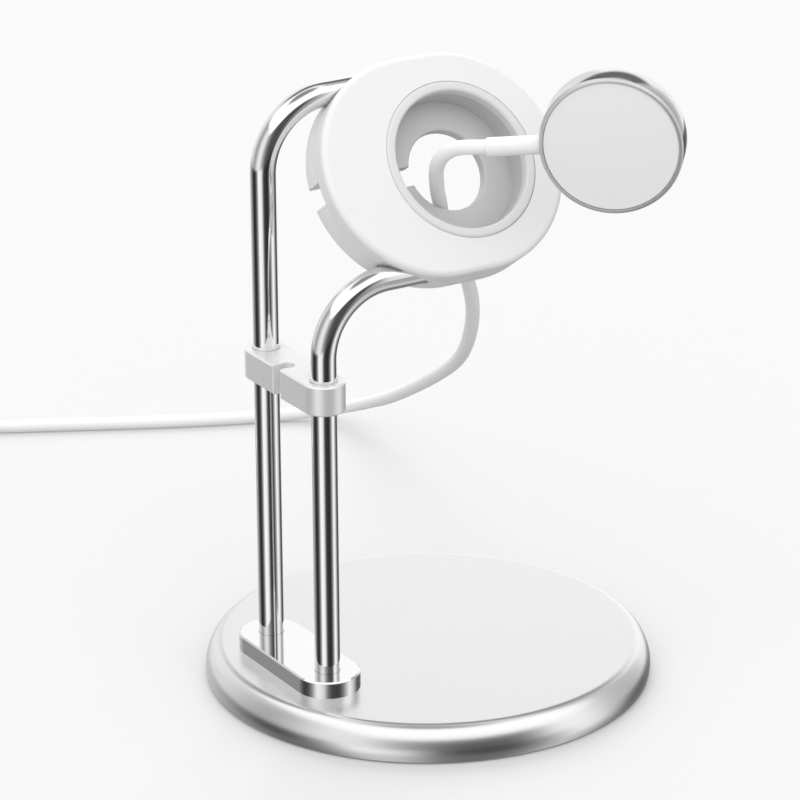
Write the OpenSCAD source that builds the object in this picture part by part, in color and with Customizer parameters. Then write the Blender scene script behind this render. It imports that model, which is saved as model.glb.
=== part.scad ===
// Desk charging stand for a wrist watch: a weighted round base, one bent rod that rises as two
// posts and closes as a loop round a tilted head, and a small round charger on a thin cord.
// Origin at the centre of the base's underside, +Z up, +X from the posts to the head, -Y in front.

/* [Base] */
// Largest diameter of the base
base_d = 90; // [86:1:100]
// Height of the base's flat top
base_h = 7.3; // [7:0.1:9]
// Width of the round edge outside the flat top
edge_w = 2; // [1.6:0.1:3]
// Height at which the base is widest
belly_z = 2.1; // [1.6:0.1:2.6]
// Gap between the shell's lower edge and the floor
shell_gap = 0.4; // [0.2:0.1:0.7]
// Thickness of the shell's top wall
top_wall = 3.1; // [2.7:0.1:3.5]
// Thickness of the shell's side wall at its foot
side_wall = 4.8; // [4.4:0.1:6]
// Height of the foot pad
pad_h = 1; // [0.8:0.1:1.4]
// Width of the lip between the pad and the shell's edge
pad_lip = 3.8; // [3.4:0.1:4.2]

/* [Posts] */
// Diameter of the rod
rod_d = 5; // [4.6:0.1:5.4]
// Distance from the base's edge to the middle of the posts
post_in = 15.5; // [14:0.5:18]
// Place of the mast's middle plane along Y
mast_y = 1.2; // [-1:0.1:3]
// Radius of the rod's centre line where a post turns into an arm
bend_r = 14; // [12:0.5:15]
// Radius of the rod's centre line round the head
loop_r = 19.1; // [18.9:0.1:19.4]
// Place of the head's round end along X
head_x = 6.6; // [5:0.1:9]
// Height of the head's round end, in the rod's plane
head_z = 105.2; // [100:0.1:115]
// Angle between the head's face and the upright
tilt = 35; // [30:1:40]
// Depth of the sockets that hold the posts
socket_depth = 2; // [1.4:0.1:2.2]

/* [Foot plate] */
// Height of the plate at the foot of the posts
plate_h = 3.4; // [2.6:0.1:5]
// Radius of the plate's round ends
plate_r = 6.5; // [5.5:0.1:8]

/* [Cable clip] */
// Height of the clip's underside above the floor
clip_z = 65.5; // [40:0.5:66]
// Height of the clip
clip_h = 6; // [5:0.1:7]
// Radius of the clip's round ends
clip_r = 4.2; // [4:0.1:5]
// Diameter of the channel that holds a cord
channel_d = 3; // [2.8:0.1:3.2]
// Width of the channel's mouth
mouth_w = 2.5; // [2.2:0.1:2.6]
// Distance from the clip's face to the middle of the channel
channel_in = 2.6; // [2.3:0.1:2.9]

/* [Head] */
// Radius of the head's round ends
head_r = 22.4; // [22.3:0.1:24]
// Distance between the middles of the two round ends
head_span = 7.6; // [6:0.1:10]
// Thickness of the front shell
front_t = 4.4; // [4.2:0.1:5]
// Thickness of the rear shell
rear_t = 4.3; // [4.2:0.1:5]
// Fillet round the head's front edge
face_fillet = 1.2; // [0.6:0.1:1.4]
// Fillet round the head's rear edge
rear_fillet = 1; // [0.6:0.1:1.4]
// Radius of the recess
recess_r = 14.1; // [14:0.1:14.3]
// Depth of the recess below the ring
recess_depth = 6.6; // [6.2:0.1:7]
// Radius of the hole through the head
hole_r = 8.2; // [7.8:0.1:9]
// Width of the soft ring round the recess
ring_w = 2; // [1.6:0.1:2.2]
// Height of the soft ring
ring_h = 2; // [1.8:0.1:2.2]
// Height of the soft ring above the head's face
ring_rise = 0.3; // [0.1:0.1:0.4]
// Width of the slot that lets the cord in from the end of the head
slot_w = 3.9; // [3.5:0.1:4.5]
// Distance of the slot from the head's middle line
slot_off = 0.2; // [0:0.1:0.6]
// Depth to which the slot notches the front shell
notch_t = 0.7; // [0.4:0.1:1]

/* [Charging puck] */
// Diameter of the puck
puck_d = 27.6; // [27.2:0.1:28.4]
// Thickness of the puck
puck_t = 7; // [6.8:0.1:7.4]
// Thickness of the puck's side wall
puck_wall = 0.8; // [0.6:0.1:0.9]
// Thickness of the puck's back wall
puck_back = 1.4; // [1:0.1:1.5]
// Chamfer round the puck's front edge
puck_chamfer = 0.5; // [0.3:0.1:0.6]
// Fillet round the puck's back edge
puck_fillet = 1.6; // [1:0.1:1.8]
// Thickness of the charging face
face_t = 0.9; // [0.7:0.1:0.95]
// Depth of the charging face below the rim
face_sink = 0.2; // [0.1:0.05:0.2]
// Thickness of the winding
winding_t = 1.9; // [1.6:0.1:2]
// Thickness of the ferrite ring
ferrite_t = 1.2; // [1:0.1:1.3]
// Thickness of the circuit board
board_t = 1.2; // [0.8:0.1:1.2]
// Diameter of the sleeve where the cord leaves the puck
sleeve_d = 3.7; // [3.4:0.1:3.7]
// Length of the sleeve outside the puck
sleeve_out = 10.5; // [8:0.5:12]

/* [Cord and plug] */
// Diameter of the cord
cord_d = 2.9; // [2.7:0.1:3]
// Mean radius of the stored coil
coil_r = 15.2; // [14:0.1:17]
// Length of the plug's body
plug_len = 23; // [20:1:26]
// Width of the plug's body
plug_w = 15.4; // [14.5:0.1:16.5]
// Thickness of the plug's body
plug_t = 7.6; // [7:0.1:8.4]
// Length of the plug's metal shell
shell_len = 12; // [11:0.5:12.5]
// Length of the plug's strain relief
relief_len = 9; // [7:0.5:12]

/* [Hidden] */
$fn = 96;
over = 1;

small_fn = 32;
fit = 0.05;
loose = 0.1;
base_r = base_d / 2;
post_x = post_in - base_r;
rod_r = rod_d / 2;
bore_r = rod_r + fit;
edge_rise = base_h - belly_z;
edge_r = (edge_w * edge_w + edge_rise * edge_rise) / (2 * edge_w);
cavity_r = base_r - side_wall;
cavity_top = base_h - top_wall;
ballast_r = cavity_r - 2 * loose;
pad_seat_r = base_r - pad_lip;
pad_r = pad_seat_r - 2 * loose;
socket_floor = base_h - socket_depth;

bolt_r = 1.5;
bolt_hole_r = bolt_r + loose;
bolt_head_r = 2.75;
bolt_head_h = 1.6;
bolt_grip = 5;
bolt_head_top = pad_h + bolt_head_h + 2 * loose;
thread_depth = bolt_grip + 1;
thread_r = bolt_r + fit;
hex_r = 1.2;
hex_depth = 0.9;

post_y = loop_r * sin(tilt);
arm_rise = loop_r * cos(tilt);
arm_len = head_x - post_x - bend_r;
loop_rod_r = rod_r - fit;
loop_stub = 1;
mast_span = 2 * post_y;
plate_chamfer = 0.3;
clip_chamfer = 0.3;
bore_chamfer = 0.3;
mouth_round = 0.5;

ring_r = recess_r + ring_w;
ring_round = 0.6;
ring_top = front_t + ring_rise;
ring_seat_z = ring_top - ring_h;
recess_floor = ring_top - recess_depth;
seam_chamfer = 0.2;
rim_round = 0.5;
ridge_gap = 0.8;
ridge_in = recess_r + ridge_gap;
ridge_w = 0.7;
ridge_h = 0.8;
screw_x = -21.5;
screw_y = 9.5;
screw_r = 1;
screw_head_r = 1.9;
screw_head_h = 1.4;
screw_sink = 0.4;
screw_grip = 2.8;
cross_w = 0.5;
cross_depth = 0.7;

puck_x = 18.4;
puck_y = -36;
puck_z = 117;
puck_turn = -42.4;
puck_lean = 5.5;
puck_roll = 4;
puck_r = puck_d / 2;
puck_in_r = puck_r - puck_wall;
face_back = face_sink + face_t;
winding_back = face_back + winding_t;
ferrite_back = winding_back + ferrite_t;
board_back = ferrite_back + board_t;
puck_floor = puck_t - puck_back;
winding_in = 6.2;
winding_out = 11.2;
ferrite_side = 0.5;
magnet_r = 5;
board_r = 11.5;
sleeve_depth = 3;
sleeve_in = 1.5;
sleeve_r = sleeve_d / 2;
sleeve_round = 0.3;

cord_sides = 8;
coil_x = -48.5;
coil_y = 159.5;
coil_columns = 4;
coil_layers = 2;
tie_t = 0.6;
tie_w = 3.5;
tie_gap = 0.3;
tie_angle = 290;
coil_out_r = coil_r + coil_columns * cord_d / 2;
coil_in_r = coil_r - coil_columns * cord_d / 2;
coil_h = coil_layers * cord_d;
strand_r = coil_out_r - cord_d / 2;
plug_x = coil_x - strand_r;
tail_len = 13;
plug_y = coil_y - tail_len;
plug_axis = plug_t / 2;
relief_tip_r = cord_d / 2 + 0.6;
relief_root_r = relief_tip_r + 0.5;
relief_rib_r = relief_root_r + loose;
relief_rib_w = 1;
shoulder_len = 3;
shoulder_step = 1.2;
plug_corner = 2;
groove_w = 1;
groove_depth = 0.35;
groove_count = 4;
shell_w = 12;
shell_h = 4.5;
shell_wall = 0.35;
shell_corner = 0.5;
shell_inner_corner = 0.3;
shell_start = relief_len + plug_len;
tongue_t = 1.85;
tongue_back = 0.6;
latch_w = 2.2;
latch_x = shell_start + 0.55 * shell_len;

// The puck's place on the stand, as a point of its own frame carried to the stand's frame
function turn_z(p, a) = [p.x * cos(a) - p.y * sin(a), p.x * sin(a) + p.y * cos(a), p.z];
function turn_x(p, a) = [p.x, p.y * cos(a) - p.z * sin(a), p.y * sin(a) + p.z * cos(a)];
function from_puck(p) = turn_z(turn_x(turn_z(p, puck_roll), 90 + puck_lean), puck_turn);
function puck_point(p) = [puck_x, puck_y, puck_z] + from_puck(p);

// The cord's route: out of the sleeve, down through the head, behind the base, along the floor
route = [
  puck_point([-(puck_r + sleeve_out), 0, -sleeve_depth]),
  puck_point([-(puck_r + sleeve_out + 3), 0, -sleeve_depth]),
  [-1.0, -13.1, 114.6], [-1.8, -10.4, 112.8], [-1.8, -7.6, 110.6], [-1.1, -5.2, 108.1],
  [0.3, -3.3, 105.2], [2.2, -2.0, 102.3], [4.0, -0.7, 99.3], [4.6, 2.0, 96.9],
  [6.2, 3.8, 93.2], [8.8, 5.0, 89.2], [12.6, 7.3, 83.4], [17.2, 11.6, 76],
  [21.2, 16.3, 69], [24.2, 21, 62.6], [27, 26.7, 56.7], [30.2, 34.2, 50.6],
  [34.2, 44.4, 44], [38.8, 57, 36.8], [44, 71.6, 29.4], [49.2, 87.2, 21.8],
  [54, 103, 13.8], [57, 115.5, 7], [57.6, 124.5, 2.6], [54, 130, 1.45],
  [45, 134.2, 1.45], [33, 139, 1.45], [19.6, 145.4, 1.45], [2.6, 154.4, 1.45],
  [-14.6, 163.6, 1.45], [-28, 170.8, 1.7], [-39.2, 176.8, 2.05]
];
tail = [
  [plug_x, coil_y, tie_t + coil_h - cord_d / 2], [plug_x, coil_y - 4, 4.9],
  [plug_x, coil_y - 8, 4.3], [plug_x, coil_y - 11, 3.9], [plug_x, plug_y, plug_axis]
];

function unit(v) = v / norm(v);
function at(points, i) = points[min(max(i, 0), len(points) - 1)];
function between(p, i, t) =
  let (a = at(p, i - 1), b = at(p, i), c = at(p, i + 1), d = at(p, i + 2))
  0.5 * (2 * b + (c - a) * t + (2 * a - 5 * b + 4 * c - d) * t * t + (3 * b - 3 * c + d - a) * t * t * t);
function smoothed(p, steps) = [
  for (i = [0 : len(p) - 2], k = [0 : steps - 1]) between(p, i, k / steps),
  p[len(p) - 1]
];
function heading(p, i) = unit(at(p, i + 1) - at(p, i - 1));

// A round tube along a list of points, closed by a flat face at each end
module tube(points, r, reference) {
  last = len(points) - 1;
  vertices = [
    for (i = [0 : last])
      let (go = heading(points, i), side = unit(cross(go, reference)), up = cross(go, side))
      for (k = [0 : cord_sides - 1])
        points[i] + r * (side * cos(360 * k / cord_sides) + up * sin(360 * k / cord_sides))
  ];
  walls = [
    for (i = [0 : last - 1], k = [0 : cord_sides - 1])
      let (a = i * cord_sides, m = (k + 1) % cord_sides)
      [a + k, a + cord_sides + k, a + cord_sides + m, a + m]
  ];
  first_cap = [for (k = [0 : cord_sides - 1]) k];
  last_cap = [for (k = [cord_sides - 1 : -1 : 0]) last * cord_sides + k];
  polyhedron(vertices, concat(walls, [first_cap], [last_cap]), convexity = 8);
}

// A solid with two round ends, from half of its section: x is the distance from the end's middle
module stadium(span) {
  translate([-span / 2, 0, 0]) {
    rotate([0, 0, 90])
      rotate_extrude(angle = 180) children();
    rotate([90, 0, 90])
      linear_extrude(span) {
        children();
        mirror([1, 0]) children();
      }
    translate([span, 0, 0])
      rotate([0, 0, -90])
        rotate_extrude(angle = 180) children();
  }
}

module chamfered_section(r, h, c) {
  polygon([[0, 0], [r, 0], [r, h - c], [r - c, h], [0, h]]);
}

// Half of a slab's section, with a chamfer at the seam and a fillet at the far edge
module filleted_section(r, h, fillet, chamfer) {
  difference() {
    union() {
      square([r - fillet, h]);
      square([r, h - fillet]);
      translate([r - fillet, h - fillet])
        circle(fillet);
    }
    translate([r, 0])
      rotate(45)
        square(chamfer * sqrt(2), center = true);
  }
}

module at_posts() {
  for (side = [-1, 1])
    translate([post_x, mast_y + side * post_y, 0]) children();
}

module on_head() {
  translate([head_x, mast_y, head_z])
    rotate([90 - tilt, 0, 0]) children();
}

module at_head_screws() {
  for (side = [-1, 1])
    translate([screw_x, side * screw_y, 0]) children();
}

module on_puck() {
  translate([puck_x, puck_y, puck_z])
    rotate([0, 0, puck_turn])
      rotate([90 + puck_lean, 0, 0])
        rotate([0, 0, puck_roll]) children();
}

module on_plug() {
  translate([plug_x, plug_y, 0])
    rotate([0, 0, -90]) children();
}

// The rod's loop and arms in the head's frame, also the channel that both head shells have for it
module loop_bar(r, arm) {
  rotate([0, 0, -90])
    rotate_extrude(angle = 180)
      translate([loop_r, 0])
        circle(r);
  for (side = [-1, 1])
    translate([0, side * loop_r, 0])
      rotate([0, -90, 0])
        cylinder(r = r, h = arm);
}

module base_shell() {
  color("silver")
    difference() {
      rotate_extrude()
        intersection() {
          union() {
            square([base_r - edge_r, base_h]);
            translate([base_r - edge_r, belly_z])
              circle(edge_r);
          }
          translate([0, shell_gap])
            square([base_r, base_h - shell_gap]);
        }
      translate([0, 0, -over])
        cylinder(r = pad_seat_r, h = pad_h + loose + over);
      cylinder(r = cavity_r, h = cavity_top);
      at_posts() {
        cylinder(r = bolt_hole_r, h = base_h);
        translate([0, 0, socket_floor])
          cylinder(r = bore_r, h = socket_depth + over);
      }
    }
}

module ballast_disc() {
  color("dimgray")
    difference() {
      translate([0, 0, pad_h])
        cylinder(r = ballast_r, h = cavity_top - pad_h);
      at_posts() {
        cylinder(r = bolt_hole_r, h = base_h);
        cylinder(r = bolt_head_r + 2 * loose, h = bolt_head_top);
      }
    }
}

module foot_pad() {
  color("darkslategray")
    cylinder(r = pad_r, h = pad_h);
}

module rod_screws() {
  color("gainsboro")
    at_posts()
      difference() {
        union() {
          translate([0, 0, bolt_head_top - bolt_head_h])
            cylinder(r = bolt_head_r, h = bolt_head_h);
          translate([0, 0, bolt_head_top])
            cylinder(r = bolt_r, h = socket_floor + bolt_grip - bolt_head_top);
        }
        cylinder(r = hex_r, h = bolt_head_top - bolt_head_h + hex_depth, $fn = 6);
      }
}

module post_foot_plate() {
  color("lightgray")
    difference() {
      translate([post_x, mast_y, base_h])
        rotate([0, 0, 90])
          stadium(mast_span) chamfered_section(plate_r, plate_h, plate_chamfer);
      at_posts() cylinder(r = bore_r, h = base_h + plate_h + over);
    }
}

module bent_rod() {
  color("lightgray")
    difference() {
      union() {
        for (side = [-1, 1])
          translate([head_x - arm_len, mast_y + side * post_y, head_z + side * arm_rise])
            arm_bend_and_post(head_z + side * arm_rise - bend_r - socket_floor);
        on_head() loop_bar(loop_rod_r, loop_stub);
      }
      at_posts()
        translate([0, 0, socket_floor - over])
          cylinder(r = thread_r, h = thread_depth + over);
    }
}

// One straight arm, its bend and the post below, from the point where the arm meets the bend
module arm_bend_and_post(drop) {
  rotate([0, 90, 0])
    cylinder(r = rod_r, h = arm_len);
  translate([0, 0, -bend_r]) {
    rotate([90, 0, 0])
      rotate([0, 0, 90])
        rotate_extrude(angle = 90)
          translate([bend_r, 0])
            circle(rod_r);
    translate([-bend_r, 0, 0])
      mirror([0, 0, 1])
        cylinder(r = rod_r, h = drop);
  }
}

module clip_section() {
  difference() {
    chamfered_section(clip_r, clip_h, clip_chamfer);
    translate([clip_r, 0])
      rotate(45)
        square(clip_chamfer * sqrt(2), center = true);
  }
}

// The channel's plan: a round seat for the cord and a mouth with rounded corners
module channel_plan() {
  translate([channel_in, 0])
    circle(channel_d / 2);
  translate([-over, -mouth_w / 2])
    square([channel_in + over, mouth_w]);
  difference() {
    translate([-over, -mouth_w / 2 - mouth_round])
      square([mouth_round + over, mouth_w + 2 * mouth_round]);
    for (side = [-1, 1])
      translate([mouth_round, side * (mouth_w / 2 + mouth_round)])
        circle(mouth_round);
  }
}

module cable_clip() {
  color("silver")
    difference() {
      translate([post_x, mast_y, clip_z])
        rotate([0, 0, 90])
          stadium(mast_span) clip_section();
      at_posts() {
        translate([0, 0, clip_z - over])
          cylinder(r = bore_r, h = clip_h + 2 * over);
        translate([0, 0, clip_z + clip_h - bore_chamfer])
          cylinder(r1 = bore_r, r2 = bore_r + bore_chamfer, h = bore_chamfer);
        translate([0, 0, clip_z])
          cylinder(r1 = bore_r + bore_chamfer, r2 = bore_r, h = bore_chamfer);
      }
      translate([post_x - clip_r, mast_y, clip_z - over])
        linear_extrude(clip_h + 2 * over) channel_plan();
    }
}

module head_slot(low, high) {
  translate([-head_span - head_r - over, slot_off - slot_w / 2, low])
    cube([head_span + head_r + over, slot_w, high - low]);
}

module head_front_shell() {
  color("white")
    on_head()
      difference() {
        translate([-head_span / 2, 0, 0])
          stadium(head_span) filleted_section(head_r, front_t, face_fillet, seam_chamfer);
        translate([0, 0, -over])
          cylinder(r = recess_r, h = front_t + 2 * over);
        translate([0, 0, ring_seat_z])
          cylinder(r = ring_r + fit, h = ring_h + over);
        rotate_extrude()
          translate([ridge_in - fit, -over])
            square([ridge_w + 2 * fit, ridge_h + fit + over]);
        loop_bar(bore_r, head_span + head_r + over);
        head_slot(-over, notch_t);
        at_head_screws()
          translate([0, 0, -over])
            cylinder(r = screw_r + fit, h = screw_grip + loose + over);
      }
}

module recess_ring() {
  color("gainsboro")
    on_head()
      rotate_extrude() {
        translate([recess_r, ring_seat_z])
          square([ring_w, ring_h - ring_round]);
        translate([recess_r + ring_round, ring_seat_z])
          square([ring_w - 2 * ring_round, ring_h]);
        for (x = [recess_r + ring_round, ring_r - ring_round])
          translate([x, ring_top - ring_round])
            circle(ring_round);
      }
}

// The hole through the recess's floor, its two rims rounded
module round_hole(low, high) {
  translate([0, 0, low - over])
    cylinder(r = hole_r, h = high - low + 2 * over);
  rotate_extrude()
    difference() {
      translate([hole_r - over, low - over])
        square([rim_round + over, high - low + 2 * over]);
      for (z = [low + rim_round, high - rim_round])
        translate([hole_r + rim_round, z])
          circle(rim_round);
      translate([hole_r, low + rim_round])
        square([rim_round + over, high - low - 2 * rim_round]);
    }
}

module head_rear_shell() {
  color("whitesmoke")
    on_head()
      difference() {
        union() {
          mirror([0, 0, 1])
            translate([-head_span / 2, 0, 0])
              stadium(head_span) filleted_section(head_r, rear_t, rear_fillet, seam_chamfer);
          rotate_extrude()
            translate([ridge_in, -over])
              square([ridge_w, ridge_h + over]);
        }
        translate([0, 0, recess_floor])
          cylinder(r = recess_r, h = recess_depth);
        round_hole(-rear_t, recess_floor);
        loop_bar(bore_r, head_span + head_r + over);
        head_slot(-rear_t - over, ridge_h + over);
        at_head_screws() {
          translate([0, 0, -rear_t - over])
            cylinder(r = screw_r + loose, h = rear_t + 2 * over);
          translate([0, 0, -rear_t - over])
            cylinder(r = screw_head_r + loose, h = screw_sink + screw_head_h + over);
        }
      }
}

module head_screws() {
  head_low = screw_sink - rear_t;
  color("gray")
    on_head()
      at_head_screws()
        difference() {
          union() {
            translate([0, 0, head_low])
              cylinder(r = screw_head_r, h = screw_head_h);
            translate([0, 0, head_low + screw_head_h])
              cylinder(r = screw_r, h = screw_grip - head_low - screw_head_h);
          }
          for (turn = [0, 90])
            rotate([0, 0, turn])
              translate([-screw_head_r / 2, -cross_w / 2, head_low - over])
                cube([screw_head_r, cross_w, cross_depth + over]);
        }
}

module puck_housing() {
  color("silver")
    on_puck()
      difference() {
        rotate_extrude()
          difference() {
            translate([0, -puck_t])
              union() {
                square([puck_r - puck_fillet, puck_t]);
                translate([0, puck_fillet])
                  square([puck_r, puck_t - puck_fillet]);
                translate([puck_r - puck_fillet, puck_fillet])
                  circle(puck_fillet);
              }
            translate([puck_r, 0])
              rotate(45)
                square(puck_chamfer * sqrt(2), center = true);
            translate([0, -puck_floor])
              square([puck_in_r, puck_floor + over]);
          }
        translate([0, 0, -sleeve_depth])
          rotate([0, -90, 0])
            cylinder(r = sleeve_r + fit, h = puck_r + over);
      }
}

module puck_face() {
  color("gainsboro")
    on_puck()
      translate([0, 0, -face_back])
        cylinder(r = puck_in_r - fit, h = face_t);
}

module flat_ring(inner, outer, thickness) {
  rotate_extrude()
    translate([inner, 0])
      square([outer - inner, thickness]);
}

module puck_coil() {
  color("peru")
    on_puck()
      translate([0, 0, -winding_back])
        flat_ring(winding_in, winding_out, winding_t);
}

module puck_ferrite() {
  color("dimgray")
    on_puck()
      translate([0, 0, -ferrite_back])
        flat_ring(winding_in - ferrite_side, winding_out + ferrite_side, ferrite_t);
}

module puck_magnet() {
  color("lightgray")
    on_puck()
      translate([0, 0, -ferrite_back])
        cylinder(r = magnet_r, h = ferrite_back - face_back);
}

module puck_board() {
  color("seagreen")
    on_puck()
      translate([0, 0, -board_back])
        cylinder(r = board_r, h = board_t);
}

module puck_sleeve() {
  color("white")
    on_puck()
      translate([-puck_r + sleeve_in, 0, -sleeve_depth])
        rotate([0, -90, 0])
          rotate_extrude() {
            square([sleeve_r, sleeve_in + sleeve_out - sleeve_round]);
            square([sleeve_r - sleeve_round, sleeve_in + sleeve_out]);
            translate([sleeve_r - sleeve_round, sleeve_in + sleeve_out - sleeve_round])
              circle(sleeve_round, $fn = small_fn);
          }
}

module cord_run() {
  color("white")
    tube(smoothed(route, 2), cord_d / 2, [0.53, 0.85, 0]);
}

module cord_coil() {
  color("white")
    translate([coil_x, coil_y, tie_t])
      flat_ring(coil_in_r, coil_out_r, coil_h);
}

module cord_tail() {
  color("white")
    tube(smoothed(tail, 2), cord_d / 2, [0, 0, 1]);
}

// A thin strap closed round the coil's turns
module coil_tie() {
  window_w = coil_out_r - coil_in_r + 2 * tie_gap;
  window_h = coil_h + tie_gap;
  color("darkgray")
    translate([coil_x, coil_y, 0])
      rotate([0, 0, tie_angle])
        translate([coil_in_r - tie_gap, tie_w / 2, 0])
          rotate([90, 0, 0])
            linear_extrude(tie_w)
              difference() {
                translate([-tie_t, 0])
                  square([window_w + 2 * tie_t, window_h + 2 * tie_t]);
                translate([0, tie_t])
                  square([window_w, window_h]);
              }
}

module plug_strain_relief() {
  color("white")
    on_plug()
      translate([0, 0, plug_axis])
        rotate([0, 90, 0]) {
          cylinder(r1 = relief_tip_r, r2 = relief_root_r, h = relief_len);
          for (x = [2 * relief_rib_w : 2 * relief_rib_w : relief_len - relief_rib_w])
            translate([0, 0, x])
              cylinder(r = relief_rib_r, h = relief_rib_w);
        }
}

module rounded_plan(w, h, r) {
  square([w - 2 * r, h], center = true);
  square([w, h - 2 * r], center = true);
  for (x = [-1, 1], y = [-1, 1])
    translate([x * (w / 2 - r), y * (h / 2 - r)])
      circle(r, $fn = small_fn);
}

module plug_bar(start, length, w, h, r) {
  translate([start, 0, plug_axis])
    rotate([90, 0, 90])
      linear_extrude(length) rounded_plan(w, h, r);
}

module plug_body() {
  wide_start = relief_len + shoulder_len;
  color("white")
    on_plug()
      difference() {
        union() {
          plug_bar(
            relief_len, shoulder_len,
            plug_w - 2 * shoulder_step, plug_t - 2 * shoulder_step, plug_corner
          );
          plug_bar(wide_start, plug_len - shoulder_len, plug_w, plug_t, plug_corner);
        }
        for (i = [1 : groove_count], z = [0, plug_t])
          translate([wide_start + 2 * i * groove_w, -plug_w / 4, z - groove_depth])
            cube([groove_w, plug_w / 2, 2 * groove_depth]);
      }
}

module plug_shell() {
  inner_w = shell_w - 2 * shell_wall;
  inner_h = shell_h - 2 * shell_wall;
  color("silver")
    on_plug()
      difference() {
        plug_bar(shell_start, shell_len, shell_w, shell_h, shell_corner);
        plug_bar(shell_start - over, shell_len + 2 * over, inner_w, inner_h, shell_inner_corner);
        for (side = [-1, 1])
          translate([latch_x, side * shell_w / 4 - latch_w / 2, plug_axis])
            cube([latch_w, latch_w, shell_h]);
      }
}

module plug_tongue() {
  tongue_w = shell_w - 2 * shell_wall - 2 * loose;
  color("whitesmoke")
    on_plug()
      translate([shell_start, -tongue_w / 2, plug_axis - shell_h / 2 + shell_wall])
        cube([shell_len - tongue_back, tongue_w, tongue_t]);
}

base_shell();
ballast_disc();
foot_pad();
rod_screws();
post_foot_plate();
bent_rod();
cable_clip();
head_front_shell();
recess_ring();
head_rear_shell();
head_screws();
puck_housing();
puck_face();
puck_coil();
puck_ferrite();
puck_magnet();
puck_board();
puck_sleeve();
cord_run();
cord_coil();
cord_tail();
coil_tie();
plug_strain_relief();
plug_body();
plug_shell();
plug_tongue();
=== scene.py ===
"""Looks of the watch charging stand: its pieces, finishes, floor, light and camera.

Lengths are in millimetres until a mesh is made; +Z is up, -Y is the front.
"""

import math

import bmesh
import bpy
import numpy as np
from mathutils import Matrix, Vector


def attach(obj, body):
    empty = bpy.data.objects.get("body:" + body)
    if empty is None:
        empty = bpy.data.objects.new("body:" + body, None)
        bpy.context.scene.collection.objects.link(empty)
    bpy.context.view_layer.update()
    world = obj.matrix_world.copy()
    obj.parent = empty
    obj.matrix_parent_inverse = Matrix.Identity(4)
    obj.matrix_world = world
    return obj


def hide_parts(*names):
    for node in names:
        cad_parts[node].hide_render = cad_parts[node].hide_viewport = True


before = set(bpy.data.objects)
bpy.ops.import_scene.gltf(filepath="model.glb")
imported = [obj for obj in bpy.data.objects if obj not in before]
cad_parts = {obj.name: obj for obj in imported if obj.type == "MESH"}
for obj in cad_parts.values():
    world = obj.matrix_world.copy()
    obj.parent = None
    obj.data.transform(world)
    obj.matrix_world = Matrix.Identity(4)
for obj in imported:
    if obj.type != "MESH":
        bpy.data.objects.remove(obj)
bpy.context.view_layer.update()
scene = bpy.context.scene
MM = 0.001

# Sizes of the object, and where its pieces stand, as in the CAD. These differ: the base's round
# shoulder, the disc's round edge, the mouth of the head's slot, and the puck's roll, which is
# 2 degrees more and lays its sleeve as in the photo.
BASE_R, BASE_H = 45.0, 7.3
SHOULDER_R, SHOULDER_ANGLE, BELLY_Z = 2.4, 45, 2.1
SHELL_GAP = 0.4
PAD_SEAT_R, PAD_CEILING = 41.2, 1.1
CAVITY_R, CAVITY_TOP = 40.2, 4.2
PLATE_TOP, PLATE_CHAMFER = 10.7, 0.3
ROD_R, SOCKET_FLOOR = 2.5, 5.3
POST_X, MAST_Y = -29.5, 1.2
BEND_R, LOOP_R = 14.0, 19.1
HEAD_X, HEAD_Z, HEAD_SPAN, TILT = 6.6, 105.2, 7.6, 35.0
SLOT_MOUTH = -20
SLOT_WALLS = ((2.15, 1.75), (-1.75, -2.7))
RING_IN, RING_OUT, RING_FOOT, RING_TOP, RING_ROUND = 14.1, 16.1, 2.7, 4.7, 0.6
PUCK_PLACE = (18.4, -36.0, 117.0)
PUCK_TURN, PUCK_LEAN, PUCK_ROLL = -42.4, 5.5, 6.0
PUCK_R, PUCK_T, PUCK_ROUND = 13.8, 7.0, 1.6
PUCK_CHAMFER, CUP_IN_R, CUP_FLOOR = 0.5, 13.0, -5.6
DISC_R, DISC_TOP, DISC_ROUND, DISC_BACK = 12.95, -0.2, 0.2, -1.1
SLEEVE_R, SLEEVE_IN, SLEEVE_OUT, SLEEVE_DEPTH = 1.85, 1.5, 10.5, 3.0
SLEEVE_ROUND = 0.3
CORD_D = 2.9
COIL_X, COIL_Y, COIL_R, TIE_T = -48.5, 159.5, 19.55, 0.6
TAIL_LEN, PLUG_AXIS = 13.0, 3.8


def spin(degrees, axis):
    return Matrix.Rotation(math.radians(degrees), 4, axis)


head_place = Matrix.Translation((HEAD_X, MAST_Y, HEAD_Z)) @ spin(90 - TILT, "X")
puck_place = (
    Matrix.Translation(PUCK_PLACE)
    @ spin(PUCK_TURN, "Z")
    @ spin(90 + PUCK_LEAN, "X")
    @ spin(PUCK_ROLL, "Z")
)


def puck_point(x, y, z):
    return np.array(puck_place @ Vector((x, y, z)))


# The photo's own view: where the camera stands, and the directions behind and above it.
CAMERA_AT = (-404.98, -644.4, 352.16)
CAMERA_BACK = (-0.4908, -0.7933, 0.3603)
CAMERA_UP = (0.1951, 0.303, 0.9328)


def add_camera():
    camera = bpy.data.objects.new("camera", bpy.data.cameras.new("camera"))
    camera.data.sensor_width = 36
    camera.data.lens = 185.39
    camera.data.clip_start = 0.02
    camera.data.clip_end = 20
    scene.collection.objects.link(camera)
    back = Vector(CAMERA_BACK).normalized()
    right = Vector(CAMERA_UP).cross(back).normalized()
    place = Matrix((right, back.cross(right), back)).transposed().to_4x4()
    place.translation = Vector(CAMERA_AT) * MM
    camera.matrix_world = place
    scene.camera = camera


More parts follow.
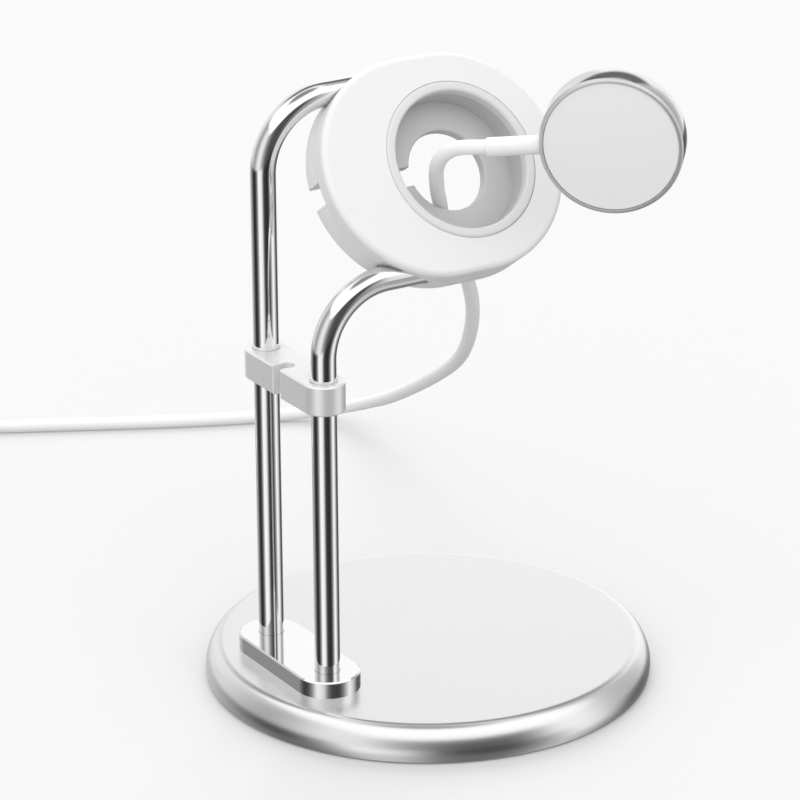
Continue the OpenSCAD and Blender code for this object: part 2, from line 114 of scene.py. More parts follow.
def curve_through(points, steps):
    """Catmull-Rom curve through the points, with this many steps between two of them."""
    points = np.array(points, float)
    padded = np.vstack([points[:1], points, points[-1:]])
    out = []
    for i in range(len(points) - 1):
        a, b, c, d = padded[i : i + 4]
        for t in np.arange(steps) / steps:
            out.append(
                0.5
                * (
                    2 * b
                    + (c - a) * t
                    + (2 * a - 5 * b + 4 * c - d) * t**2
                    + (3 * b - 3 * c + d - a) * t**3
                )
            )
    return np.array(out + [points[-1]])


def eased_out(points, widths):
    """The same line with its small wriggles smoothed over these widths, in point steps."""
    points = points.copy()
    rounds = int(max(widths) ** 2)
    share = (np.array(widths)[1:-1, None] ** 2) / rounds
    for _ in range(rounds):
        middle = (points[:-2] + points[2:]) / 2
        points[1:-1] += share * (middle - points[1:-1])
    return points


def evenly(points, step):
    """The line again, with its points this far apart."""
    lengths = np.linalg.norm(np.diff(points, axis=0), axis=1)
    along = np.concatenate([[0], np.cumsum(lengths)])
    at = np.linspace(0, along[-1], int(round(along[-1] / step)) + 1)
    return np.stack([np.interp(at, along, points[:, k]) for k in range(3)], axis=1)


def arc(centre, across, along, radius, start, end, count):
    """Points of an arc round centre, in the plane of two unit directions."""
    angles = np.radians(np.linspace(start, end, count))
    return np.array(centre) + radius * (
        np.outer(np.cos(angles), across) + np.outer(np.sin(angles), along)
    )


def rod_path():
    """Middle of the rod: up the front post, along the lower arm, round the loop in the head,
    and back by the upper arm and the rear post."""
    side_y = LOOP_R * math.sin(math.radians(TILT))
    rise = LOOP_R * math.cos(math.radians(TILT))
    bend_x = POST_X + BEND_R
    front_y, back_y = MAST_Y - side_y, MAST_Y + side_y
    low_z, high_z = HEAD_Z - rise, HEAD_Z + rise
    outward = (0, math.cos(math.radians(90 - TILT)), math.sin(math.radians(90 - TILT)))
    x_dir, z_dir = (1, 0, 0), (0, 0, 1)

    def post(y, top):
        z = np.linspace(SOCKET_FLOOR, top - BEND_R, 24)[:-1]
        return np.stack([np.full_like(z, POST_X), np.full_like(z, y), z], axis=1)

    def bend(y, top):
        return arc((bend_x, y, top - BEND_R), x_dir, z_dir, BEND_R, 180, 90, 33)

    def arm(y, top):
        x = np.linspace(bend_x, HEAD_X, 12)[1:-1]
        return np.stack([x, np.full_like(x, y), np.full_like(x, top)], axis=1)

    loop = arc((HEAD_X, MAST_Y, HEAD_Z), x_dir, outward, LOOP_R, -90, 90, 65)
    return np.vstack(
        [
            post(front_y, low_z),
            bend(front_y, low_z),
            arm(front_y, low_z),
            loop,
            arm(back_y, high_z)[::-1],
            bend(back_y, high_z)[::-1],
            post(back_y, high_z)[::-1],
        ]
    )


# Middle of the cord from in front of the head, through its hole and over the table.
CORD_ROUTE = [
    [-1.0, -13.1, 114.6], [-1.8, -10.4, 112.8], [-1.8, -7.6, 110.6],
    [-1.1, -5.2, 108.1], [0.3, -3.3, 105.2], [1.4, -1.5, 102.3],
    [3.0, -0.1, 99.3], [4.6, 2.0, 96.9], [6.2, 3.8, 93.2], [8.8, 5.0, 89.2],
    [12.6, 7.3, 83.4], [17.2, 11.6, 76], [21.5, 16.1, 69], [24.2, 21, 62.6],
    [27, 26.7, 56.7], [30.2, 34.2, 50.6], [34.2, 44.4, 44.5], [38.8, 57, 37.5],
    [44, 71.6, 29.8], [49.2, 87.2, 21.8], [54, 103, 13.8], [57, 115.5, 8.3],
    [57.4, 124.3, 4.2], [53.4, 130, 2.2], [45, 134.2, 1.45], [33, 139, 1.45],
    [19.6, 145.4, 1.45], [2.6, 154.4, 1.45], [-14.6, 163.6, 1.45], [-28, 170.8, 1.7],
]  # fmt: skip
ENTRY_ANGLE = 61.74
COIL_TURN = 7 * 360 + 180 - ENTRY_ANGLE


def eased(x):
    """From 0 to 1 with a soft start and end."""
    x = min(max(x, 0), 1)
    return x * x * (3 - 2 * x)


def coil_point(turned):
    """The cord's middle in the coil after turning this many degrees: four turns inwards on
    the floor, then outwards again on top of them."""
    turn, angle = divmod(turned, 360)
    if turn < 4:
        ring = turn + (eased((angle - 300) / 60) if turn < 3 else 0)
        layer = eased((angle - 240) / 60) if turn == 3 else 0
    else:
        ring = max(7 - turn - eased((angle - 180) / 60), 0)
        layer = 1
    radius = COIL_R - ring * CORD_D
    where = math.radians(ENTRY_ANGLE + turned)
    return [
        COIL_X + radius * math.cos(where),
        COIL_Y + radius * math.sin(where),
        TIE_T + CORD_D * (0.5 + layer),
    ]


def cord_path():
    """Middle of the whole cord, from inside the sleeve to inside the plug's boot."""
    start = [
        puck_point(-(PUCK_R + SLEEVE_OUT - 2), 0, -SLEEVE_DEPTH),
        puck_point(-(PUCK_R + SLEEVE_OUT), 0, -SLEEVE_DEPTH),
        puck_point(-(PUCK_R + SLEEVE_OUT + 3), 0, -SLEEVE_DEPTH),
    ]
    run = start + CORD_ROUTE + [coil_point(0), coil_point(30)]
    run = evenly(curve_through(run, 12)[:-12], 1.0)
    widths = np.interp(np.arange(len(run)), [0, 50, 80, 230, 260], [2.5, 2.5, 8, 8, 4])
    run = eased_out(run, widths)
    coil = [coil_point(a) for a in np.arange(0, COIL_TURN, 5)] + [coil_point(COIL_TURN)]
    x, top_z = COIL_X - COIL_R, TIE_T + 1.5 * CORD_D
    tail = [
        coil_point(COIL_TURN - 12), coil_point(COIL_TURN), [x, COIL_Y - 4, top_z - 0.05],
        [x, COIL_Y - 8, 4.3], [x, COIL_Y - 11, 3.9], [x, COIL_Y - TAIL_LEN, PLUG_AXIS],
        [x, COIL_Y - TAIL_LEN - 2, PLUG_AXIS],
    ]  # fmt: skip
    return np.vstack([run, coil[1:-1], curve_through(tail, 5)[5:]])


def new_object(name, mesh):
    obj = bpy.data.objects.new(name, mesh)
    scene.collection.objects.link(obj)
    return obj


def finish_mesh(name, vertices, faces, crease):
    """A mesh in metres with its normals outward, smooth up to the crease angle."""
    mesh = bpy.data.meshes.new(name)
    mesh.from_pydata([tuple(v * MM for v in p) for p in vertices], [], faces)
    work = bmesh.new()
    work.from_mesh(mesh)
    bmesh.ops.recalc_face_normals(work, faces=work.faces)
    work.to_mesh(mesh)
    work.free()
    mesh.shade_smooth()
    mesh.set_sharp_from_angle(angle=math.radians(crease))
    return new_object(name, mesh)


def swept_rod_tree():
    """Geometry Nodes that lay a round section along a path and close both ends."""
    tree = bpy.data.node_groups.new("swept rod", "GeometryNodeTree")
    nodes, links = tree.nodes, tree.links
    for name, kind in (
        ("Path", "NodeSocketGeometry"),
        ("Rod radius", "NodeSocketFloat"),
        ("Sides", "NodeSocketInt"),
        ("Finish", "NodeSocketMaterial"),
    ):
        tree.interface.new_socket(name, in_out="INPUT", socket_type=kind)
    tree.interface.new_socket("Rod", in_out="OUTPUT", socket_type="NodeSocketGeometry")
    given = nodes.new("NodeGroupInput").outputs
    section = nodes.new("GeometryNodeCurvePrimitiveCircle")
    links.new(given["Rod radius"], section.inputs["Radius"])
    links.new(given["Sides"], section.inputs["Resolution"])
    line = nodes.new("GeometryNodeMeshToCurve")
    links.new(given["Path"], line.inputs["Mesh"])
    sweep = nodes.new("GeometryNodeCurveToMesh")
    sweep.inputs["Fill Caps"].default_value = True
    links.new(line.outputs["Curve"], sweep.inputs["Curve"])
    links.new(section.outputs["Curve"], sweep.inputs["Profile Curve"])
    joined = nodes.new("GeometryNodeRealizeInstances")
    links.new(sweep.outputs["Mesh"], joined.inputs["Geometry"])
    dressed = nodes.new("GeometryNodeSetMaterial")
    links.new(joined.outputs["Geometry"], dressed.inputs["Geometry"])
    links.new(given["Finish"], dressed.inputs["Material"])
    links.new(dressed.outputs["Geometry"], nodes.new("NodeGroupOutput").inputs["Rod"])
    return tree


def polished_rod(finish):
    """The one bent rod, swept along its path by Geometry Nodes."""
    path = rod_path() * MM
    line = bpy.data.meshes.new("rod_line")
    line.from_pydata(path.tolist(), [(i, i + 1) for i in range(len(path) - 1)], [])
    obj = new_object("polished_rod", line)
    sizes = {"Rod radius": ROD_R * MM, "Sides": 72, "Finish": finish}
    tree = swept_rod_tree()
    swept = obj.modifiers.new("swept rod", "NODES")
    swept.node_group = tree
    for socket in tree.interface.items_tree:
        if socket.name in sizes:
            swept[socket.identifier] = sizes[socket.name]
    ready = obj.evaluated_get(bpy.context.evaluated_depsgraph_get())
    obj.data = bpy.data.meshes.new_from_object(ready)
    obj.modifiers.clear()
    bpy.data.meshes.remove(line)
    bpy.data.node_groups.remove(tree)
    obj.data.name = obj.name
    obj.data.shade_smooth()
    obj.data.set_sharp_from_angle(angle=math.radians(50))
    return obj


def tube(name, points, radius, sides):
    """A round bar along the points, closed by a flat face at each end."""
    points = np.array(points, float)
    headings = np.gradient(points, axis=0)
    headings /= np.linalg.norm(headings, axis=1)[:, None]
    angles = np.linspace(0, 2 * math.pi, sides, endpoint=False)
    # Any direction will do here, if the bar doesn't start along it.
    across = np.cross(headings[0], (0.3, 0.5, 0.81))
    vertices = []
    for point, heading in zip(points, headings):
        across = across - heading * across.dot(heading)
        across /= np.linalg.norm(across)
        up = np.cross(heading, across)
        vertices += list(
            point + radius * (np.outer(np.cos(angles), across) + np.outer(np.sin(angles), up))
        )
    last = (len(points) - 1) * sides
    faces = [
        (i + k, i + (k + 1) % sides, i + sides + (k + 1) % sides, i + sides + k)
        for i in range(0, last, sides)
        for k in range(sides)
    ]
    faces += [tuple(range(sides)), tuple(range(last + sides - 1, last - 1, -1))]
    return finish_mesh(name, vertices, faces, crease=50)


def lathe(name, profile, place=Matrix.Identity(4), segments=192):
    """A turned solid with a profile of (radius, height): from the axis out and back to it, or
    a closed line that stays off it."""
    angles = np.linspace(0, 2 * math.pi, segments, endpoint=False)
    vertices, rings = [], []
    for radius, height in profile:
        if radius == 0:
            rings.append([len(vertices)] * segments)
            vertices.append(place @ Vector((0, 0, height)))
        else:
            rings.append(range(len(vertices), len(vertices) + segments))
            vertices += [
                place @ Vector((radius * math.cos(a), radius * math.sin(a), height))
                for a in angles
            ]
    faces = []
    closed = profile[0][0] > 0
    pairs = list(zip(rings, rings[1:])) + ([(rings[-1], rings[0])] if closed else [])
    for low, high in pairs:
        for k in range(segments):
            m = (k + 1) % segments
            face = (low[k], low[m], high[m], high[k])
            faces.append(tuple(dict.fromkeys(face)))
    return finish_mesh(name, vertices, faces, crease=35)


def rounded(middle, radius, start, end, count=9):
    """Points of a rounded corner in a turned profile, round a middle point."""
    x, y = middle
    angles = np.radians(np.linspace(start, end, count))
    return [(x + radius * math.cos(a), y + radius * math.sin(a)) for a in angles]


def funnel(vertices):
    """Moves each wall of the head's cord slot at its mouth from where the CAD has it, and
    keeps it on the head's outline. The slot gets a little wider there."""
    into_head = head_place.inverted()
    for vertex in vertices:
        x, y, z = into_head @ (vertex.co / MM)
        for wall, moved in SLOT_WALLS:
            if x < SLOT_MOUTH and (abs(y - wall) < 0.01 or moved < y < wall < 0):
                reach = math.hypot(x + HEAD_SPAN, y)
                x = -HEAD_SPAN - math.sqrt(reach**2 - moved**2)
                vertex.co = head_place @ Vector((x, moved, z)) * MM
                break


def copy_of(node, name, reshape=None):
    """The CAD node's own surface as one joined mesh, sharp at its creases only."""
    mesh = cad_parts[node].data.copy()
    mesh.name = name
    if reshape:
        reshape(mesh.vertices)
    work = bmesh.new()
    work.from_mesh(mesh)
    bmesh.ops.remove_doubles(work, verts=work.verts, dist=2e-6)
    bmesh.ops.dissolve_degenerate(work, edges=work.edges, dist=1e-6)
    bmesh.ops.recalc_face_normals(work, faces=work.faces)
    bmesh.ops.dissolve_limit(
        work, angle_limit=math.radians(0.2), verts=work.verts, edges=work.edges
    )
    work.to_mesh(mesh)
    work.free()
    mesh.shade_smooth()
    mesh.set_sharp_from_angle(angle=math.radians(28))
    obj = new_object(name, mesh)
    weighted = obj.modifiers.new("flat faces stay flat", "WEIGHTED_NORMAL")
    weighted.weight, weighted.keep_sharp = 100, True
    ready = obj.evaluated_get(bpy.context.evaluated_depsgraph_get())
    obj.data = bpy.data.meshes.new_from_object(ready)
    obj.modifiers.clear()
    bpy.data.meshes.remove(mesh)
    obj.data.name = name
    return obj


# How far a finish takes to go over into another on the same piece, and a radius that takes in
# a whole piece. The painted shade inside the head's recess, a darker grey on the white shell,
# ends just before the rear face.
FADE = 0.1
WHOLE = 40
RECESS_SHADE_BACK = -4.1


class Finish:
    """A principled material with a slow change of colour, a fine change of roughness and a
    fine relief, all three in the object's own coordinates."""

    def __init__(self, name, colour, roughness, metallic=0.0):
        self.material = bpy.data.materials.new(name)
        self.material.use_nodes = True
        self.nodes = self.material.node_tree.nodes
        self.links = self.material.node_tree.links
        self.surface = self.nodes["Principled BSDF"]
        self.colour, self.height = colour, None
        self.set("Metallic", metallic)
        self.set("Roughness", roughness)
        self.set("IOR", 1.46)
        self.set("Base Color", (*colour, 1))
        self.coordinates = self.nodes.new("ShaderNodeTexCoord").outputs["Object"]

    def set(self, socket, value):
        self.surface.inputs[socket].default_value = value

    def noise(self, scale, detail=2.0):
        texture = self.nodes.new("ShaderNodeTexNoise")
        texture.inputs["Scale"].default_value = scale
        texture.inputs["Detail"].default_value = detail
        self.links.new(self.coordinates, texture.inputs["Vector"])
        return texture.outputs["Fac"]

    def rings(self, scale):
        """Fine lines round the Z axis."""
        texture = self.nodes.new("ShaderNodeTexWave")
        texture.wave_type, texture.rings_direction = "RINGS", "Z"
        texture.inputs["Scale"].default_value = scale
        texture.inputs["Distortion"].default_value = 0.3
        texture.inputs["Detail"].default_value = 1.0
        self.links.new(self.coordinates, texture.inputs["Vector"])
        return texture.outputs["Fac"]

    def remap(self, source, start, end, low=0.0, high=1.0):
        """Low where the source is at the start and high where it is at the end."""
        node = self.nodes.new("ShaderNodeMapRange")
        values = {"From Min": start, "From Max": end, "To Min": low, "To Max": high}
        for socket, value in values.items():
            node.inputs[socket].default_value = value
        self.links.new(source, node.inputs["Value"])
        return node.outputs["Result"]

    def spread(self, noise, low, high):
        """A noise as a value that goes all the way from low to high."""
        return self.remap(noise, 0.25, 0.75, low, high)

    def vary_colour(self, scale, amount):
        mix = self.nodes.new("ShaderNodeMix")
        mix.data_type = "RGBA"
        darker = tuple(c * (1 - amount) for c in self.colour)
        mix.inputs["A"].default_value = (*self.colour, 1)
        mix.inputs["B"].default_value = (*darker, 1)
        self.links.new(self.spread(self.noise(scale), 0, 1), mix.inputs["Factor"])
        self.links.new(mix.outputs["Result"], self.surface.inputs["Base Color"])
        return self

    def vary_roughness(self, scale, low, high):
        source = self.spread(self.noise(scale, 3.0), low, high)
        self.links.new(source, self.surface.inputs["Roughness"])
        return self

    def share_within(self, place, radius, height):
        """1 on the surface within this radius of a piece's axis and above this height of its
        own, both in millimetres, and 0 on the rest."""
        own = self.nodes.new("ShaderNodeMapping")
        own.vector_type = "TEXTURE"
        own.inputs["Location"].default_value = place.translation * MM
        own.inputs["Rotation"].default_value = place.to_euler()
        self.links.new(self.coordinates, own.inputs["Vector"])
        flat = self.nodes.new("ShaderNodeVectorMath")
        flat.operation = "MULTIPLY"
        flat.inputs[1].default_value = (1, 1, 0)
        self.links.new(own.outputs["Vector"], flat.inputs[0])
        out = self.nodes.new("ShaderNodeVectorMath")
        out.operation = "LENGTH"
        self.links.new(flat.outputs["Vector"], out.inputs[0])
        split = self.nodes.new("ShaderNodeSeparateXYZ")
        self.links.new(own.outputs["Vector"], split.inputs[0])
        near = self.remap(out.outputs["Value"], radius * MM, (radius - FADE) * MM)
        high = self.remap(split.outputs["Z"], height * MM, (height + FADE) * MM)
        product = self.nodes.new("ShaderNodeMath")
        product.operation = "MULTIPLY"
        self.links.new(near, product.inputs[0])
        self.links.new(high, product.inputs[1])
        return product.outputs[0]

    def change(self, socket, share, value):
        """Goes over to another value of a socket where the share is 1."""
        mix = self.nodes.new("ShaderNodeMix")
        mix.data_type = "RGBA" if socket == "Base Color" else "FLOAT"
        ends = [end for end in mix.inputs if end.enabled]
        self.links.new(share, ends[0])
        self.links.new(self.surface.inputs[socket].links[0].from_socket, ends[1])
        ends[2].default_value = value
        result = next(end for end in mix.outputs if end.enabled)
        self.links.new(result, self.surface.inputs[socket])

    def relief(self, source, depth, strength=0.3):
        """Adds a relief of this depth in metres on top of the ones before it."""
        bump = self.nodes.new("ShaderNodeBump")
        bump.inputs["Distance"].default_value = depth
        bump.inputs["Strength"].default_value = strength
        self.links.new(source, bump.inputs["Height"])
        if self.height:
            self.links.new(self.height, bump.inputs["Normal"])
        self.height = bump.outputs["Normal"]
        self.links.new(self.height, self.surface.inputs["Normal"])
        return self


def grey(value):
    return (value, value, value)


def opaque(value):
    return (value, value, value, 1)


def polished(name, colour, low, high):
    finish = Finish(name, colour, (low + high) / 2, metallic=1.0)
    finish.vary_colour(40, 0.02).vary_roughness(120, low, high)
    return finish.relief(finish.noise(90), 0.000004, 0.05)


def satin(name, colour, low, high, depth=0.00001, metallic=1.0):
    finish = Finish(name, colour, (low + high) / 2, metallic=metallic)
    finish.vary_colour(35, 0.012).vary_roughness(300, low, high)
    return finish.relief(finish.noise(2400, 3.0), depth, 0.1)


def moulded(name, colour, low, high, grain=3200, depth=0.000008, tint=0.015):
    finish = Finish(name, colour, (low + high) / 2)
    finish.vary_colour(30, tint).vary_roughness(180, low, high)
    return finish.relief(finish.noise(grain), depth, 0.12)


def make_finishes():
    """One material for each finish slot: painted shade, a darker grey, inside the head's
    recess, satin on the puck's front edge, and polished on the foot plate's top alone."""
    base_top = satin("satin aluminium", (0.93, 0.933, 0.93), 0.28, 0.29, depth=0.000001)
    winding = Finish("copper winding", (0.72, 0.33, 0.14), 0.35, metallic=1.0)
    winding.vary_colour(300, 0.1).relief(winding.rings(900), 0.0001, 0.6)
    board = moulded("circuit board", (0.02, 0.16, 0.07), 0.3, 0.5, tint=0.3)
    ferrite = moulded("ferrite", (0.035, 0.034, 0.036), 0.55, 0.75, grain=5000, tint=0.3)
    shell = moulded("white shell", (0.78, 0.78, 0.777), 0.3, 0.36)
    # Painted shade: the white shell's colour turns a darker grey inside the recess, where shade
    # falls.
    inside = shell.share_within(head_place, RING_IN + FADE, RECESS_SHADE_BACK)
    shell.change("Base Color", inside, opaque(0.52))
    cup = polished("polished steel", (0.86, 0.86, 0.87), 0.05, 0.09)
    cup_edge = cup.share_within(puck_place, WHOLE, -PUCK_CHAMFER - 0.05)
    cup.change("Roughness", cup_edge, 0.5)
    plate = polished("chromed plate", grey(0.9), 0.18, 0.24)
    plate_place = Matrix.Translation((POST_X, MAST_Y, 0))
    plate_top = plate.share_within(plate_place, WHOLE, PLATE_TOP - PLATE_CHAMFER)
    plate.change("Roughness", plate_top, 0.03)
    cord = moulded("cord jacket", (0.85, 0.85, 0.845), 0.42, 0.5)
    cord.set("Subsurface Weight", 0.06)
    cord.set("Subsurface Scale", 0.001)
    return {
        "satin_aluminium": base_top.material,
        "chrome_rod": polished("chromed rod", grey(0.93), 0.015, 0.04).material,
        "chrome_plate": plate.material,
        "clip_metal": satin("blasted metal", grey(0.9), 0.34, 0.42, metallic=0.55).material,
        "screw_steel": satin("screw steel", (0.55, 0.55, 0.56), 0.25, 0.4).material,
        "ballast_iron": satin("ballast iron", (0.3, 0.29, 0.28), 0.5, 0.65).material,
        "pad_rubber": moulded("foot rubber", grey(0.03), 0.7, 0.85, depth=0.00003).material,
        "head_white": shell.material,
        "ring_soft": moulded("soft ring", (0.68, 0.685, 0.68), 0.5, 0.6).material,
        "puck_metal": cup.material,
        "puck_white": moulded("charging face", (0.82, 0.82, 0.823), 0.2, 0.26).material,
        "copper": winding.material,
        "ferrite": ferrite.material,
        "magnet_plating": polished("magnet plating", grey(0.7), 0.1, 0.2).material,
        "board_green": board.material,
        "cord_white": cord.material,
        "tie_grey": moulded("tie strap", grey(0.3), 0.6, 0.7, depth=0.00002).material,
        "plug_white": moulded("plug plastic", (0.84, 0.84, 0.835), 0.3, 0.38).material,
        "plug_metal": polished("plug shell", (0.8, 0.79, 0.77), 0.14, 0.22).material,
    }


def base_cap():
    """The turned cap: flat top, round shoulder, bulging edge, and hollow from below."""
    lean = math.radians(SHOULDER_ANGLE)
    rise = BASE_H - BELLY_Z - SHOULDER_R
    edge_r = SHOULDER_R + rise / math.sin(lean)
    shoulder_x = BASE_R - edge_r + rise / math.tan(lean)
    foot_angle = math.degrees(math.asin((SHELL_GAP - BELLY_Z) / edge_r))
    shoulder = (shoulder_x, BASE_H - SHOULDER_R)
    belly = (BASE_R - edge_r, BELLY_Z)
    # The two rings on the flat top keep its shading flat.
    profile = [(0, BASE_H), (20, BASE_H), (shoulder_x - 1, BASE_H)]
    profile += rounded(shoulder, SHOULDER_R, 90, SHOULDER_ANGLE, 24)
    profile += rounded(belly, edge_r, SHOULDER_ANGLE, foot_angle, 32)[1:]
    profile += [(PAD_SEAT_R, SHELL_GAP), (PAD_SEAT_R, PAD_CEILING)]
    profile += [(CAVITY_R, PAD_CEILING), (CAVITY_R, CAVITY_TOP), (0, CAVITY_TOP)]
    return lathe("turned_cap", profile, segments=256)


def puck_cup():
    """The polished cup, open towards the charging face."""
    back_edge = (PUCK_R - PUCK_ROUND, PUCK_ROUND - PUCK_T)
    profile = [(0, -PUCK_T), (PUCK_R - PUCK_ROUND, -PUCK_T)]
    profile += rounded(back_edge, PUCK_ROUND, -90, 0, 14)[1:]
    profile += [(PUCK_R, -PUCK_CHAMFER), (PUCK_R - 0.06, -0.4), (PUCK_R - 0.42, -0.05)]
    profile += [(PUCK_R - PUCK_CHAMFER, 0), (CUP_IN_R, 0), (CUP_IN_R, CUP_FLOOR)]
    profile += [(0, CUP_FLOOR)]
    return lathe("polished_cup", profile, puck_place)


def charging_disc():
    """The puck's face, just below the edge of its cup."""
    corner = (DISC_R - DISC_ROUND, DISC_TOP - DISC_ROUND)
    profile = [(0, DISC_TOP), (DISC_R - DISC_ROUND, DISC_TOP)]
    profile += rounded(corner, DISC_ROUND, 90, 0, 7)[1:]
    profile += [(DISC_R, DISC_BACK), (0, DISC_BACK)]
    return lathe("charging_disc", profile, puck_place)


def soft_ring():
    """The ring round the recess, standing a little proud of the head."""
    height = RING_TOP - RING_ROUND
    profile = [(RING_OUT, RING_FOOT), (RING_OUT, height)]
    profile += rounded((RING_OUT - RING_ROUND, height), RING_ROUND, 0, 90)[1:]
    profile += rounded((RING_IN + RING_ROUND, height), RING_ROUND, 90, 180)
    profile += [(RING_IN, RING_FOOT)]
    return lathe("soft_ring", profile, head_place)


def sleeve():
    """The stiff sleeve on the cord, from inside the puck's edge outwards."""
    foot = puck_point(SLEEVE_IN - PUCK_R, 0, -SLEEVE_DEPTH)
    tip = puck_point(-(PUCK_R + SLEEVE_OUT), 0, -SLEEVE_DEPTH)
    turned = Vector(tip - foot).to_track_quat("Z", "X").to_matrix().to_4x4()
    place = Matrix.Translation(Vector(foot)) @ turned
    length = SLEEVE_IN + SLEEVE_OUT
    edge = (SLEEVE_R - SLEEVE_ROUND, length - SLEEVE_ROUND)
    profile = [(0, 0), (SLEEVE_R, 0), (SLEEVE_R, length - SLEEVE_ROUND)]
    profile += rounded(edge, SLEEVE_ROUND, 0, 90)[1:]
    profile += [(0, length)]
    return lathe("cord_sleeve", profile, place, segments=64)


def add_pieces(finishes):
    """Each piece in its place, with its finish, its body and the CAD nodes it stands for."""

    def place(obj, slot, *nodes, body="stand"):
        obj.data.materials.clear()
        obj.data.materials.append(finishes[slot])
        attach(obj, body)
        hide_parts(*nodes)
        return obj

    cap = place(base_cap(), "satin_aluminium", "base_shell")
    place(polished_rod(finishes["chrome_rod"]), "chrome_rod", "bent_rod")
    place(puck_cup(), "puck_metal", "puck_housing")
    place(charging_disc(), "puck_white", "puck_face")
    place(soft_ring(), "ring_soft", "recess_ring")
    place(sleeve(), "cord_white", "puck_sleeve")
    copies = [
        ("foot_pad", "rubber_foot", "pad_rubber"),
        ("ballast_disc", "ballast_weight", "ballast_iron"),
        ("rod_screws", "post_screws", "screw_steel"),
        ("post_foot_plate", "mirror_plate", "chrome_plate"),
        ("head_screws", "cover_screws", "screw_steel"),
        ("coil_tie", "tie_strap", "tie_grey"),
        ("plug_strain_relief", "relief_boot", "plug_white"),
        ("plug_body", "plug_grip", "plug_white"),
        ("plug_shell", "plug_sheath", "plug_metal"),
        ("plug_tongue", "contact_tongue", "plug_white"),
    ]
    made = {}
    for node, name, slot in copies:
        made[node] = place(copy_of(node, name), slot, node)
    for node, name in (("head_front_shell", "front_cover"), ("head_rear_shell", "rear_cover")):
        place(copy_of(node, name, reshape=funnel), "head_white", node)
    # The rods and the plate mirror the room down to their foot, and not the base or the cord.
    for obj in (cap, made["foot_pad"], made["ballast_disc"], made["rod_screws"]):
        obj.visible_glossy = False
    place(copy_of("cable_clip", "cord_clip"), "clip_metal", "cable_clip", body="clip")

    path = cord_path()
    cord = tube("charging_cord", path, CORD_D / 2, 20)
    place(cord, "cord_white", "cord_run", "cord_coil", "cord_tail")
    cord.visible_glossy = False


INSIDE = {
    "puck_coil": "copper",
    "puck_ferrite": "ferrite",
    "puck_magnet": "magnet_plating",
    "puck_board": "board_green",
}


def finish_inside(finishes):
    """The CAD's own solids inside the puck, which no piece of the scene replaces."""
    for node, slot in INSIDE.items():
        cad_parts[node].data.materials.clear()
        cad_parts[node].data.materials.append(finishes[slot])


def add_floor():
    """A pale floor that no piece mirrors and that throws no light back."""
    finish = Finish("pale floor", grey(0.655), 0.6)
    finish.vary_colour(3, 0.004).relief(finish.noise(200), 0.00002, 0.02)
    finish.set("Specular IOR Level", 0.0)
    mesh = bpy.data.meshes.new("floor")
    half = 3.0  # metres
    corners = [(-half, -half, 0), (half, -half, 0), (half, half, 0), (-half, half, 0)]
    mesh.from_pydata(corners, [], [(0, 1, 2, 3)])
    mesh.materials.append(finish.material)
    floor = new_object("floor", mesh)
    floor.visible_glossy = floor.visible_diffuse = False


# What polished metal mirrors below the horizon: (degrees from +X towards +Y, grey)
STRIPES = [
    (0, 0.12), (8, 0.07), (20, 0.1), (30, 0.18), (38, 0.22), (46, 0.4), (54, 0.6), (84, 0.6),
    (110, 0.4), (130, 0.17), (144, 0.035), (158, 0.025), (169, 0.06), (180, 0.2),
    (190, 0.52), (200, 1.05), (220, 0.92), (229, 0.7), (238, 0.21), (247, 0.06),
    (256, 0.037), (277, 0.025), (287, 0.07), (297, 0.23), (308, 0.55), (319, 1.05),
    (332, 0.85), (346, 0.45), (357, 0.16),
]  # fmt: skip

# The same above it, up to the bright ceiling.
WALLS = [
    (0, 0.45), (12, 0.6), (22, 1.0), (45, 1.07), (63, 1.07), (69, 0.8), (90, 0.9),
    (110, 0.8), (135, 0.5), (150, 0.35), (165, 0.5), (185, 0.85), (205, 0.85), (222, 0.4),
    (238, 0.18), (252, 0.08), (284, 0.08), (294, 0.4), (303, 1.0), (322, 1.0), (340, 0.5),
]  # fmt: skip

# How high up that ceiling begins: (degrees, sine of the angle above the horizon)
CEILING_EDGE = [
    (0, 0.88), (93.6, 0.88), (118.8, 0.6), (187.2, 0.6), (216, 0.42), (334.8, 0.42),
    (352.8, 0.88),
]  # fmt: skip

# The dark panel: (degrees, strength) and (sine of the angle above the horizon, strength)
PANEL_WIDE = [(0, 0.0), (10.8, 0.0), (21.6, 1.0), (93.6, 1.0), (115.2, 0.0)]
PANEL_HIGH = [(0.0, 0.0), (0.5, 0.0), (0.62, 1.0), (0.8, 1.0), (0.94, 0.0), (1.0, 0.0)]


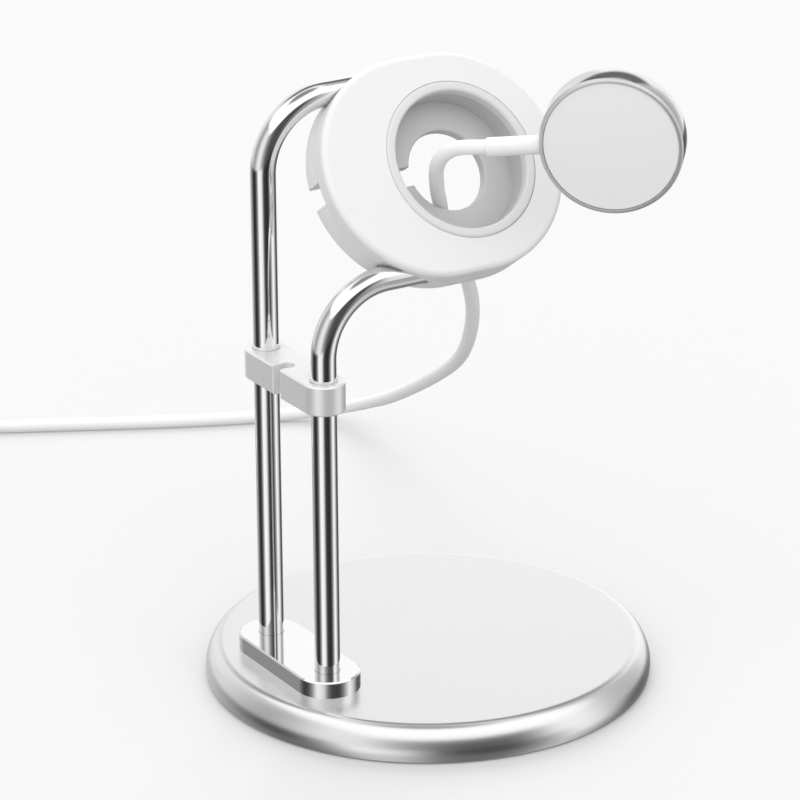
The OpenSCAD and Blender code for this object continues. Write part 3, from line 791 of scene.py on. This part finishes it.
def add_world():
    """White where the camera sees it, even light for matt things, and for polished ones a
    bright room with dark strips low down all round and a dark panel high up behind."""
    world = bpy.data.worlds.new("studio")
    world.use_nodes = True
    scene.world = world
    nodes, links = world.node_tree.nodes, world.node_tree.links
    nodes.clear()

    def feed(socket, value):
        if isinstance(value, bpy.types.NodeSocket):
            links.new(value, socket)
        else:
            socket.default_value = value

    def math_node(operation, *values):
        node = nodes.new("ShaderNodeMath")
        node.operation = operation
        for socket, value in zip(node.inputs, values):
            feed(socket, value)
        return node.outputs[0]

    def mix(factor, a, b):
        node = nodes.new("ShaderNodeMix")
        node.data_type = "RGBA"
        for name, value in (("Factor", factor), ("A", a), ("B", b)):
            feed(node.inputs[name], value)
        return node.outputs["Result"]

    def ramp(factor, stops):
        node = nodes.new("ShaderNodeValToRGB")
        elements = node.color_ramp.elements
        for element, (position, value) in zip(elements, (stops[0], stops[-1])):
            element.position, element.color = position, opaque(value)
        for position, value in stops[1:-1]:
            elements.new(position).color = opaque(value)
        links.new(factor, node.inputs["Fac"])
        return node.outputs["Color"]

    def all_round(stops):
        stops = [(angle / 360, value) for angle, value in stops]
        return ramp(turn, stops + [(1.0, stops[0][1])])

    def step(value, start, end):
        node = nodes.new("ShaderNodeMapRange")
        node.interpolation_type = "SMOOTHSTEP"
        node.inputs["From Min"].default_value = start
        node.inputs["From Max"].default_value = end
        links.new(value, node.inputs["Value"])
        return node.outputs["Result"]

    direction = nodes.new("ShaderNodeSeparateXYZ")
    links.new(nodes.new("ShaderNodeTexCoord").outputs["Generated"], direction.inputs[0])
    x, y, z = direction.outputs
    turn = math_node("ARCTAN2", y, x)
    turn = math_node("FRACT", math_node("ADD", math_node("DIVIDE", turn, 2 * math.pi), 1.0))
    # The strips fade towards the floor, and the walls begin just under the horizon.
    deep = ramp(math_node("ADD", z, 1.0), [(0.0, 0.5), (0.46, 0.5), (0.56, 0.0), (1.0, 0.0)])
    room = mix(deep, all_round(STRIPES), opaque(0.24))
    room = mix(step(z, -0.22, -0.12), room, all_round(WALLS))
    ceiling = ramp(z, [(0.0, 1.12), (0.93, 1.12), (0.97, 0.3), (1.0, 0.28)])
    ceiling_edge = all_round(CEILING_EDGE)
    room = mix(step(math_node("SUBTRACT", z, ceiling_edge), 0.0, 0.05), room, ceiling)
    panel_high = ramp(z, PANEL_HIGH)
    panel = math_node("MULTIPLY", panel_high, all_round(PANEL_WIDE))
    room = mix(panel, room, opaque(0.16))
    # Matt things get less light from below.
    even = mix(step(z, -0.5, 0.4), opaque(0.64), opaque(0.93))
    seen_by = nodes.new("ShaderNodeLightPath").outputs
    light = mix(seen_by["Is Glossy Ray"], even, room)
    light = mix(seen_by["Is Camera Ray"], light, opaque(0.97))
    background = nodes.new("ShaderNodeBackground")
    links.new(light, background.inputs["Color"])
    output = nodes.new("ShaderNodeOutputWorld")
    links.new(background.outputs[0], output.inputs["Surface"])


def add_soft_sun(name, towards, power, width):
    """Broad light from far away that lights the whole floor evenly and isn't mirrored."""
    lamp = bpy.data.lights.new(name, "SUN")
    lamp.energy = power
    lamp.angle = math.radians(width)
    obj = bpy.data.objects.new(name, lamp)
    scene.collection.objects.link(obj)
    obj.rotation_euler = Vector(towards).to_track_quat("Z", "Y").to_euler()
    obj.visible_glossy = False


add_camera()
all_finishes = make_finishes()
add_pieces(all_finishes)
finish_inside(all_finishes)
add_floor()
add_world()
add_soft_sun("overhead softbox", (-0.4, -0.45, 0.8), 1.1, 80)
add_soft_sun("rear softbox", (0.3, 0.62, 0.55), 1.3, 50)
scene.view_settings.view_transform = "Standard"
